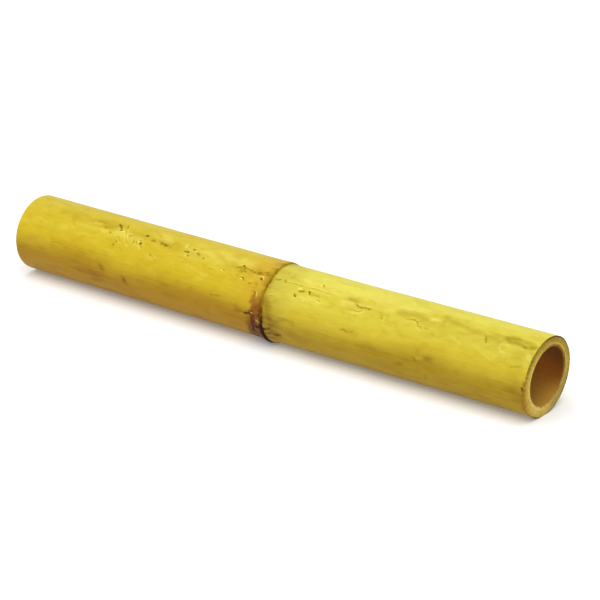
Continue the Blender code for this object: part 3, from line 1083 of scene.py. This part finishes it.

# %% [markdown]
# The kept number below runs from -1, on the sunny side, to 1 on the weathered one, whose darker colour
# is partly painted shade. Blotches and long fibres move the edge between them, so that it is soft and
# streaky.

# %% Sunny side, and weathered side with painted shade
skin = bpy.data.materials.new("bamboo_skin")
skin.use_nodes = True
tree = skin.node_tree
shader = tree.nodes["Principled BSDF"]
place_on = add_node(tree, "ShaderNodeTexCoord").outputs["Object"]
grain = add_node(tree, "ShaderNodeUVMap", uv_map="grain").outputs["UV"]
along = add_node(tree, "ShaderNodeSeparateXYZ", {0: grain}).outputs["X"]
past = sums(tree, "SUBTRACT", along, NODE_STATION)

wavy = sums(tree, "MULTIPLY_ADD", blotches(tree, place_on, 0.011, 3.0, 17.0), 0.36, -0.18)
combed = sums(tree, "MULTIPLY_ADD", fibres(tree, place_on, 0.0014, 0.045), 0.2, -0.1)
weathered_and_shaded = sums(tree, "ADD", sums(tree, "ADD", kept(tree, "weathered_and_shaded"), wavy), combed)

far = ramp(tree, past, -0.003, 0.003)
# Painted highlight: the top of each internode is paler
near_yellow = lay_over(tree, ramp(tree, weathered_and_shaded, -0.6, -0.95), YELLOW_NEAR, YELLOW_TOP_HIGHLIGHT)
far_yellow = lay_over(tree, ramp(tree, weathered_and_shaded, -0.5, -0.95), YELLOW_FAR, YELLOW_FAR_TOP_HIGHLIGHT)
colour = lay_over(tree, far, near_yellow, far_yellow)
# Painted shade: gold, then ochre, darken the lower side, partly as weathering
colour = lay_over(tree, ramp(tree, weathered_and_shaded, -0.3, 0.1, 0.0, 0.4), colour, GOLD)
ochre = lay_over(tree, far, OCHRE_NEAR, OCHRE_FAR)
colour = lay_over(tree, ramp(tree, weathered_and_shaded, -0.02, 0.62, 0.0, 0.96), colour, ochre)
print("sunny and weathered side:", len(tree.nodes), "nodes")

# %% [markdown]
# No part of a real skin is one colour. Golden patches a few millimetres long, paler ones
# between them, darker clouds on the weathered side and fine streaks along the fibres all
# stay faint, because it is their sum that the eye takes for a grown surface.

# %% Patches, clouds and streaks
golden = ramp(tree, blotches(tree, place_on, 0.0034, 2.2, 61.0), 0.46, 0.7, 0.0, 0.5)
colour = lay_over(tree, golden, colour, GOLDEN_SHADE, "MULTIPLY")
paler = ramp(tree, blotches(tree, place_on, 0.0042, 2.6, 71.0), 0.5, 0.72, 0.0, 0.24)
paler = times(tree, paler, ramp(tree, weathered_and_shaded, 0.3, -0.1))
colour = lay_over(tree, paler, colour, FIBRE_PALE)
clouds = ramp(tree, blotches(tree, place_on, 0.006, 3.0, 25.0), 0.46, 0.7)
clouds = times(tree, clouds, ramp(tree, weathered_and_shaded, 0.0, 0.6, 0.06, 0.34))
colour = lay_over(tree, clouds, colour, BROWN_SHADE, "MULTIPLY")
streaks = fibres(tree, place_on, 0.0006, 0.04)
colour = lay_over(tree, ramp(tree, streaks, 0.4, 0.7, 0.0, 0.07), colour, FIBRE_PALE)
dull_streaks = ramp(tree, fibres(tree, place_on, 0.0011, 0.03), 0.48, 0.7, 0.0, 0.14)
colour = lay_over(tree, dull_streaks, colour, GOLDEN_SHADE, "MULTIPLY")
print("with patches, clouds and streaks:", len(tree.nodes), "nodes")

# %% [markdown]
# The node's colours lie over these: tan past the ring, red-brown where the bud grew, grey-green wax
# beside the ring, and dirt with painted shade in the crack itself. The soft stains come between, so
# that the crack's dirt and shade lie over them.

# %% The node
speckle = blotches(tree, place_on, 0.0022, 1.8, 51.0)
beyond_ring = times(tree, ramp(tree, past, 0.024, 0.001, 0.0, 0.7), ramp(tree, past, -0.0004, 0.0004))
tan = times(tree, beyond_ring, ramp(tree, speckle, 0.3, 0.6, 0.6, 1.0), ramp(tree, weathered_and_shaded, 0.4, 0.0))
colour = lay_over(tree, tan, colour, TAN)
beside_ring = times(tree, ramp(tree, past, -0.022, -0.002), ramp(tree, past, -0.0002, -0.001))
wax_patches = ramp(tree, blotches(tree, place_on, 0.005, 1.5, 31.0), 0.3, 0.65, 0.15, 0.7)
bloom = times(tree, beside_ring, wax_patches, ramp(tree, weathered_and_shaded, 0.6, 0.1, 0.35, 1.0))
colour = lay_over(tree, bloom, colour, BLOOM)
stain_colour = lay_over(tree, ramp(tree, weathered_and_shaded, 0.3, 0.8), STAIN_RED, STAIN_DARK)
stain_share = times(tree, kept(tree, "stain"), ramp(tree, speckle, 0.3, 0.65, 0.7, 0.98))
colour = lay_over(tree, stain_share, colour, stain_colour)
colour = lay_over(tree, times(tree, kept(tree, "scar"), 0.45), colour, STAIN_DARK)
broken = ramp(tree, speckle, 0.25, 0.6, 0.7, 1.0)
colour = lay_over(tree, times(tree, kept(tree, "pale"), broken), colour, PALE_AND_HIGHLIGHT)
colour = lay_over(tree, times(tree, kept(tree, "olive"), broken), colour, OLIVE_SHADE, "MULTIPLY")
brown = times(tree, kept(tree, "brown"), broken)
colour = lay_over(tree, brown, colour, BROWN_SHADE, "MULTIPLY")
# A second, fainter coat, because one coat can't get darker than its own colour makes it
colour = lay_over(tree, times(tree, brown, 0.6), colour, BROWN_SHADE, "MULTIPLY")
halo = times(tree, kept(tree, "halo"), ramp(tree, speckle, 0.3, 0.6, 0.4, 0.9))
colour = lay_over(tree, halo, colour, OLIVE_SHADE, "MULTIPLY")
# Dirt and painted shade in the crack, darkest on the lower side
crack_dirt_and_shade = lay_over(tree, ramp(tree, weathered_and_shaded, -0.05, 0.8), CRACK_BROWN, CRACK_DIRT_AND_SHADE)
crack_depth = kept(tree, "crack")
frayed_crack = sums(tree, "ADD", crack_depth, sums(tree, "MULTIPLY_ADD", speckle, 0.5, -0.25))
in_crack = ramp(tree, crack_depth, 0.0, 0.15)
crack_share = times(tree, ramp(tree, frayed_crack, 0.1, 0.55, 0.0, 0.95), in_crack)
colour = lay_over(tree, crack_share, colour, crack_dirt_and_shade)
print("with the node's colours:", len(tree.nodes), "nodes")

# %% [markdown]
# Marks come last. Fine speckle frays each pit's outline, and faint creases wander over the
# side that has been handled: each runs where a cloudy pattern crosses its own middle value.

# %% Creases, pits and lips
cloudy = blotches(tree, place_on, 0.0055, 2.6, 91.0)
crease = sums(tree, "ABSOLUTE", sums(tree, "SUBTRACT", cloudy, 0.5))
here_and_there = ramp(tree, blotches(tree, place_on, 0.006, 2.0, 97.0), 0.45, 0.6, 0.0, 0.55)
crease_share = times(tree, ramp(tree, crease, 0.012, 0.002), kept(tree, "handled"), here_and_there)
colour = lay_over(tree, crease_share, colour, MARK_SHADE, "MULTIPLY")
fine = blotches(tree, place_on, 0.0005, 2.0, 13.0)
pit_depth = kept(tree, "pit")
frayed_pit = sums(tree, "ADD", pit_depth, sums(tree, "MULTIPLY_ADD", fine, 0.5, -0.25))
pit_share = times(tree, frayed_pit, ramp(tree, pit_depth, 0.02, 0.2))
# Painted highlight on the pale lips beside the marks
lip_highlight_share = times(tree, kept(tree, "lip_and_highlight"), ramp(tree, fine, 0.3, 0.6, 0.5, 0.95))
colour = lay_over(tree, lip_highlight_share, colour, PALE_AND_HIGHLIGHT)
colour = lay_over(tree, ramp(tree, pit_share, 0.08, 0.5), colour, MARK_SHADE, "MULTIPLY")
colour = lay_over(tree, ramp(tree, pit_share, 0.42, 1.15), colour, PIT_SHADE, "MULTIPLY")
tree.links.new(colour, shader.inputs["Base Color"])
print("with creases, pits and lips:", len(tree.nodes), "nodes")

# %% [markdown]
# Wax gives the skin its satin sheen, duller where it blooms and where it has worn off in
# patches. The fibres press through it as the faintest of ribs.

# %% Sheen and ribs
SKIN_ROUGHNESS = 0.42
SKIN_GLOSS = 0.08  # the share of the usual reflection, as wax gives less than varnish
FIBRE_RIBS = 0.00005  # how far the fibres seem to press through

worn = blotches(tree, place_on, 0.004, 3.0, 43.0)
roughness = sums(tree, "MULTIPLY_ADD", worn, 0.2, SKIN_ROUGHNESS - 0.1)
roughness = sums(tree, "MULTIPLY_ADD", bloom, 0.2, roughness)
tree.links.new(roughness, shader.inputs["Roughness"])
shader.inputs["Specular IOR Level"].default_value = SKIN_GLOSS
height = sums(tree, "MULTIPLY_ADD", crease_share, -0.8, streaks)
bump = add_node(tree, "ShaderNodeBump", {"Height": height, "Distance": FIBRE_RIBS, "Strength": 0.6})
tree.links.new(bump.outputs["Normal"], shader.inputs["Normal"])
culm.data.materials.append(skin)
print("the skin's finish has", len(tree.nodes), "nodes")

# %% [markdown]
# ## The sawn wood
#
# Across the cut, the wall is dense and dark under the skin and pale and open towards the
# hollow. The fibres show as end-on dots, small and crowded outside, larger and fewer inside.
# Handling has browned the lower front of the outer edge, sun has greened the upper front, and
# the lower back is grey, so some colours lie only where the face turns a certain way round
# the cane. The inner edge is brown at the back, with a pale line just outside it, and pale at
# the front.

# %% The sawn wood's finish
RIND = paint(70, 52, 18)
DENSE_WOOD = paint(150, 122, 24)
OPEN_WOOD = paint(194, 163, 50)
OLIVE_WOOD = paint(126, 104, 0)
WORN_WOOD = paint(164, 120, 26)
INNER_PALE = paint(224, 196, 108)
INNER_BROWN = paint(104, 66, 4)
DOT_BROWN = paint(150, 116, 20)
GRUBBY = paint(176, 126, 30)
GREY_WOOD = paint(128, 116, 56)
DOTS_PER_METRE = (1900.0, 950.0)  # small ones, and large ones

sawn = bpy.data.materials.new("bamboo_sawn")
sawn.use_nodes = True
tree = sawn.node_tree
shader = tree.nodes["Principled BSDF"]
place_on = add_node(tree, "ShaderNodeTexCoord").outputs["Object"]
grain = add_node(tree, "ShaderNodeUVMap", uv_map="grain").outputs["UV"]
true_depth = add_node(tree, "ShaderNodeSeparateXYZ", {0: grain}).outputs["X"]
uneven = sums(tree, "MULTIPLY_ADD", blotches(tree, place_on, 0.0022, 1.0, 3.0), 0.0014, -0.0007)
depth = sums(tree, "ADD", true_depth, uneven)


def vector_sums(operation, inputs):
    return add_node(tree, "ShaderNodeVectorMath", inputs, operation=operation).outputs


from_axis = vector_sums("SUBTRACT", {0: place_on, 1: (0.0, 0.0, NEAR_RADIUS)})[0]
from_axis = vector_sums("MULTIPLY", {0: from_axis, 1: (0.0, 1.0, 1.0)})[0]
round_cane = vector_sums("NORMALIZE", {0: from_axis})[0]


def turned_to(degrees, reach):
    """1 where the face turns to an angle round the cane, falling to 0 at a reach in degrees."""
    way = (0.0, math.cos(math.radians(degrees)), math.sin(math.radians(degrees)))
    likeness = vector_sums("DOT_PRODUCT", {0: round_cane, 1: way})["Value"]
    return ramp(tree, likeness, math.cos(math.radians(reach)), 1.0)


at_upper_front = turned_to(112, 75)
at_lower_front = turned_to(200, 50)
at_back = turned_to(38, 75)
at_front = sums(tree, "SUBTRACT", 1.0, at_back)
colour = lay_over(tree, ramp(tree, depth, 0.0002, 0.0024), DENSE_WOOD, OPEN_WOOD)
greened = times(tree, ramp(tree, depth, 0.003, 0.001, 0.0, 0.9), at_upper_front)
colour = lay_over(tree, greened, colour, OLIVE_WOOD)
browned = times(tree, ramp(tree, depth, 0.0026, 0.0004, 0.0, 0.9), at_lower_front)
colour = lay_over(tree, browned, colour, WORN_WOOD)
pale_edge = times(tree, ramp(tree, depth, WALL - 0.0019, WALL - 0.0011), at_front)
colour = lay_over(tree, times(tree, pale_edge, 0.85), colour, INNER_PALE)
colour = lay_over(tree, times(tree, turned_to(264, 60), 0.4), colour, INNER_PALE)
colour = lay_over(tree, times(tree, turned_to(55, 90), 0.75), colour, DENSE_WOOD)
brown_edge = times(tree, ramp(tree, depth, WALL - 0.0014, WALL - 0.0005), at_back)
colour = lay_over(tree, times(tree, brown_edge, 0.9), colour, INNER_BROWN)
line_outside = ramp(tree, depth, WALL - 0.0024, WALL - 0.0018)
line_inside = ramp(tree, depth, WALL - 0.0013, WALL - 0.0017)
colour = lay_over(tree, times(tree, line_outside, line_inside, at_back, 0.6), colour, INNER_PALE)
colour = lay_over(tree, times(tree, turned_to(318, 45), 0.62), colour, GREY_WOOD)
small_dots, large_dots = (
    add_node(tree, "ShaderNodeTexVoronoi", {"Vector": place_on, "Scale": scale}).outputs["Distance"]
    for scale in DOTS_PER_METRE)
crowded = times(tree, ramp(tree, small_dots, 0.45, 0.2), ramp(tree, depth, 0.0026, 0.0008, 0.0, 0.5))
spaced = times(tree, ramp(tree, large_dots, 0.34, 0.16), ramp(tree, depth, 0.001, 0.0028, 0.0, 0.45))
dots = sums(tree, "MAXIMUM", crowded, spaced)
colour = lay_over(tree, dots, colour, DOT_BROWN)
print("the plain sawn wood has", len(tree.nodes), "nodes")

# %% [markdown]
# Thin streaks cross the wall from the skin to the hollow, where fibres tore as they were
# sawn. They come from noise that changes quickly round the cane and slowly through its wall,
# and where they reach the hollow they leave dark notches. The rind under the skin is a dark
# rim, worn away at the lower front, and it shows as a thin dark line round the back.

# %% Torn fibres, grubby patches and the rind
STREAKS_ROUND, STREAKS_THROUGH = 26.0, 260.0  # how quickly the streaks change each way
SAWN_ROUGHNESS = 0.72
DRY_GLOSS = 0.12
SAWN_RELIEF = 0.00012

spread = vector_sums("SCALE", {0: round_cane, "Scale": STREAKS_ROUND})[0]
through = add_node(tree, "ShaderNodeCombineXYZ", {"X": times(tree, depth, STREAKS_THROUGH)}).outputs[0]
across = vector_sums("ADD", {0: spread, 1: through})[0]
noise_inputs = {"Vector": across, "Scale": 1.0, "Detail": 2.0, "Roughness": 0.6}
torn = add_node(tree, "ShaderNodeTexNoise", noise_inputs).outputs["Fac"]
colour = lay_over(tree, ramp(tree, torn, 0.52, 0.7, 0.0, 0.42), colour, INNER_PALE)
colour = lay_over(tree, ramp(tree, torn, 0.48, 0.3, 0.0, 0.42), colour, DENSE_WOOD)
at_hollow = ramp(tree, true_depth, WALL - 0.0012, WALL - 0.0004, 0.0, 0.8)
colour = lay_over(tree, times(tree, ramp(tree, torn, 0.5, 0.62), at_hollow), colour, INNER_BROWN)
grubby = ramp(tree, blotches(tree, place_on, 0.003, 1.0, 12.0), 0.5, 0.75, 0.0, 0.55)
colour = lay_over(tree, grubby, colour, GRUBBY)
not_greened = ramp(tree, at_upper_front, 0.5, 0.1, 0.1, 1.0)
not_worn = sums(tree, "MULTIPLY_ADD", at_lower_front, -0.85, 1.0)
rind = times(tree, ramp(tree, depth, 0.0007, 0.0002), not_greened, not_worn)
colour = lay_over(tree, rind, colour, RIND)
rim_at_back = ramp(tree, turned_to(12, 105), 0.0, 0.3, 0.0, 0.85)
rim_line = times(tree, ramp(tree, true_depth, 0.0008, 0.0005), rim_at_back)
colour = lay_over(tree, rim_line, colour, RIND)
tree.links.new(colour, shader.inputs["Base Color"])
shader.inputs["Roughness"].default_value = SAWN_ROUGHNESS
shader.inputs["Specular IOR Level"].default_value = DRY_GLOSS
height = sums(tree, "ADD", sums(tree, "ADD", dots, torn), blotches(tree, place_on, 0.0006, 1.0, 5.0))
bump = add_node(tree, "ShaderNodeBump", {"Height": height, "Distance": SAWN_RELIEF, "Strength": 0.6})
tree.links.new(bump.outputs["Normal"], shader.inputs["Normal"])
culm.data.materials.append(sawn)
print("the sawn wood's finish has", len(tree.nodes), "nodes")

# %% [markdown]
# ## The hollow
#
# The inside of a culm is lined with dry brown pith, smooth to the eye, which lies along the fibres and
# peels in thin pale films. It is dull. Its colour carries painted light and shade: browner and darker
# at the top, partly as painted shade, a painted brightening along the bottom deeper in, and painted
# shade chiefly on the upper wall just inside the mouth.

# %% The hollow's finish
# The hollow's colours below carry painted light and shade: the low pith is lit, the high pith shaded,
# the deep pith a painted brightening, and the mouth's multiplier a painted shade
PITH_LOW_LIT = paint(212, 162, 64)
PITH_MIDDLE = paint(206, 132, 54)
PITH_HIGH_SHADED = paint(152, 100, 52)
PITH_DEEP_LIT = paint(244, 188, 76)
PITH_FIBRE = paint(150, 98, 34)
FILM = paint(200, 156, 74)
MOUTH_PAINTED_SHADE = paint(176, 162, 130)
HOLLOW_ROUGHNESS = 0.85
PITH_RELIEF = 0.0002

hollow = bpy.data.materials.new("bamboo_hollow")
hollow.use_nodes = True
tree = hollow.node_tree
shader = tree.nodes["Principled BSDF"]
place_on = add_node(tree, "ShaderNodeTexCoord").outputs["Object"]
grain = add_node(tree, "ShaderNodeUVMap", uv_map="grain").outputs["UV"]
along = add_node(tree, "ShaderNodeSeparateXYZ", {0: grain}).outputs["X"]
inside = sums(tree, "MINIMUM", along, sums(tree, "SUBTRACT", LENGTH, along))
upward = add_node(tree, "ShaderNodeSeparateXYZ", {0: place_on}).outputs["Z"]
pith_fibres = fibres(tree, place_on, 0.0012, 0.03)
# Painted light and shade: lighter towards the bottom, darker towards the top, partly the pith's own
# browner top
colour = lay_over(tree, ramp(tree, upward, 0.005, 0.017), PITH_LOW_LIT, PITH_MIDDLE)
colour = lay_over(tree, ramp(tree, upward, 0.014, 0.027), colour, PITH_HIGH_SHADED)
colour = lay_over(tree, ramp(tree, pith_fibres, 0.3, 0.7, 0.14, 0.0), colour, PITH_FIBRE)
# Painted light: a brightening along the bottom, deeper in
deep_painted_light = times(tree, ramp(tree, inside, 0.01, 0.02, 0.0, 0.8), ramp(tree, upward, 0.016, 0.008))
colour = lay_over(tree, deep_painted_light, colour, PITH_DEEP_LIT)
films = ramp(tree, blotches(tree, place_on, 0.005, 2.5, 7.0), 0.56, 0.72, 0.0, 0.2)
colour = lay_over(tree, films, colour, FILM)
# Painted shade, chiefly on the upper wall just inside the mouth
mouth = times(tree, ramp(tree, inside, 0.015, 0.001), ramp(tree, upward, 0.006, 0.016, 0.15, 1.0))
colour = lay_over(tree, mouth, colour, MOUTH_PAINTED_SHADE, "MULTIPLY")
tree.links.new(colour, shader.inputs["Base Color"])
shader.inputs["Roughness"].default_value = HOLLOW_ROUGHNESS
shader.inputs["Specular IOR Level"].default_value = DRY_GLOSS
bump_inputs = {"Height": pith_fibres, "Distance": PITH_RELIEF, "Strength": 0.4}
bump = add_node(tree, "ShaderNodeBump", bump_inputs)
tree.links.new(bump.outputs["Normal"], shader.inputs["Normal"])
culm.data.materials.append(hollow)
print("the hollow's finish has", len(tree.nodes), "nodes")

# %% [markdown]
# ## The floor
#
# The floor is pale, plain and matt, so that nothing on it takes the eye from the cane. It
# glows faintly, which lightens the shadow under the cane and turns the floor nearly white.

# %% The floor's finish
FLOOR_GLOW = 0.16

paper = bpy.data.materials.new("pale_floor")
paper.use_nodes = True
paper_inputs = paper.node_tree.nodes["Principled BSDF"].inputs
paper_inputs["Base Color"].default_value = (0.92, 0.92, 0.92, 1.0)
paper_inputs["Roughness"].default_value = 0.9
paper_inputs["Emission Color"].default_value = (1.0, 1.0, 1.0, 1.0)
paper_inputs["Emission Strength"].default_value = FLOOR_GLOW
floor.data.materials.append(paper)
print("the floor glows with", FLOOR_GLOW, "of its own light")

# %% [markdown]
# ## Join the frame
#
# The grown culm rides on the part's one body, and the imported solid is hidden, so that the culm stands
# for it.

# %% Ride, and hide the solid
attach(culm, "root")
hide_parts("culm")
